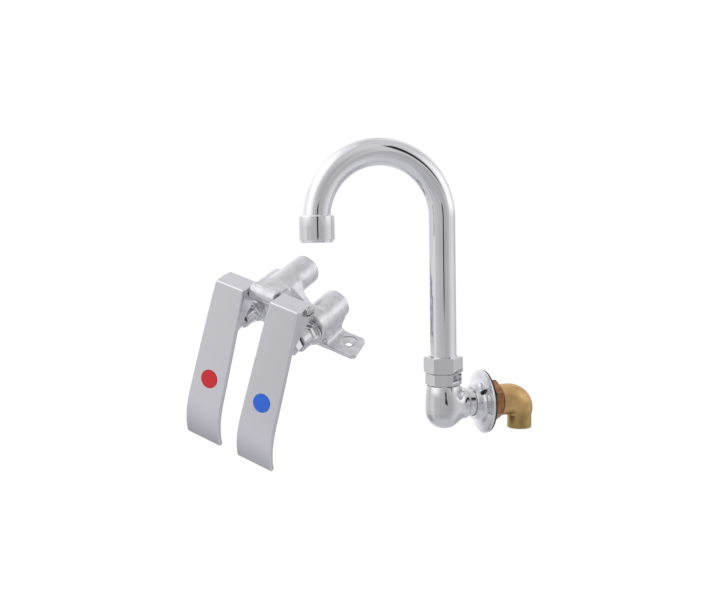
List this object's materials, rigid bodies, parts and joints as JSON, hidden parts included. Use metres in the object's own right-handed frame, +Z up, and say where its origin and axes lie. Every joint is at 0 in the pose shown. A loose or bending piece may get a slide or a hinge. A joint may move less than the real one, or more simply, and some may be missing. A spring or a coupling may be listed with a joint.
{
  "type": "hands-free faucet set",
  "caption": "Chromed wall-mounted swivel gooseneck spout with a brass inlet elbow, and a separate double knee valve with hinged hot and cold pedals.",
  "frame": {"origin": "middle of the spout's wall hole, on the wall's front face, where the gasket's back meets the shank's axis", "axes": "+Y into the wall along the shank's axis, +Z up along the riser, +X to the right when facing the wall. The knee valve is a second assembly at the place and tilt that it has in the picture beside the spout."},
  "size_m": [0.2016, 0.277, 0.2814],
  "materials": {
    "polished_chrome": "polished",
    "cast_chrome": "plated over a slightly rough casting",
    "satin_chrome": "satin",
    "cast_brass": "rough cast",
    "copper_brass": "machined, tarnished",
    "stainless_steel": "machined",
    "black_rubber": "matt",
    "white_nylon": "moulded",
    "red_marker": "plain coloured disc",
    "blue_marker": "plain coloured disc"
  },
  "bodies": {
    "fixed_parts": {"spout_body": "polished_chrome", "hex_adapter": "polished_chrome", "swivel_nut": "polished_chrome", "upper_o_ring": "black_rubber", "lower_o_ring": "black_rubber", "thrust_washer": "white_nylon", "wall_flange": "polished_chrome", "flange_set_screw": "stainless_steel", "flange_gasket": "black_rubber", "threaded_shank": "copper_brass", "lock_washer": "stainless_steel", "locknut": "copper_brass", "inlet_elbow": "cast_brass", "valve_casting": "cast_chrome", "hinge_pin": "stainless_steel", "hinge_pin_nut": "stainless_steel", "hot_bonnet": "polished_chrome", "hot_packing_nut": "polished_chrome", "hot_packing": "black_rubber", "hot_seat": "cast_brass", "hot_return_spring": "stainless_steel", "cold_bonnet": "polished_chrome", "cold_packing_nut": "polished_chrome", "cold_packing": "black_rubber", "cold_seat": "cast_brass", "cold_return_spring": "stainless_steel"},
    "spout": {"gooseneck_tube": "polished_chrome", "outlet_collar": "polished_chrome", "outlet_screen": "stainless_steel", "outlet_screen_washer": "black_rubber", "swivel_sleeve": "cast_brass"},
    "hot_lever": {"hot_pedal": "satin_chrome", "hot_marker": "red_marker"},
    "cold_lever": {"cold_pedal": "satin_chrome", "cold_marker": "blue_marker"},
    "hot_plunger": {"hot_stem": "stainless_steel", "hot_seat_washer": "black_rubber"},
    "cold_plunger": {"cold_stem": "stainless_steel", "cold_seat_washer": "black_rubber"}
  },
  "joints": [
    {"name": "spout_swivel", "type": "hinge", "parent": "fixed_parts", "child": "spout", "pos_m": [0, -0.0364, 0], "axis": [0, 0, 1], "range_deg": [-100, 100]},
    {"name": "hot_pedal_hinge", "type": "hinge", "parent": "fixed_parts", "child": "hot_lever", "pos_m": [-0.0882, -0.18771, 0.10064], "axis": [0.6619, 0.6807, -0.314], "range_deg": [0, 7], "stiffness_Nm_per_rad": 1.5, "springref_deg": -20.05},
    {"name": "cold_pedal_hinge", "type": "hinge", "parent": "fixed_parts", "child": "cold_lever", "pos_m": [-0.05114, -0.1496, 0.08306], "axis": [0.6619, 0.6807, -0.314], "range_deg": [0, 7], "stiffness_Nm_per_rad": 1.5, "springref_deg": -20.05},
    {"name": "hot_stem_slide", "type": "slide", "parent": "fixed_parts", "child": "hot_plunger", "axis": [-0.5607, 0.7276, 0.3952], "range_m": [0, 0.005], "deforming": ["hot_return_spring"]},
    {"name": "cold_stem_slide", "type": "slide", "parent": "fixed_parts", "child": "cold_plunger", "axis": [-0.5607, 0.7276, 0.3952], "range_m": [0, 0.005], "deforming": ["cold_return_spring"]}
  ],
  "couplings": [
    {"joint": "hot_stem_slide", "follows": "hot_pedal_hinge", "m_per_rad": 0.0408},
    {"joint": "cold_stem_slide", "follows": "cold_pedal_hinge", "m_per_rad": 0.0408}
  ]
}
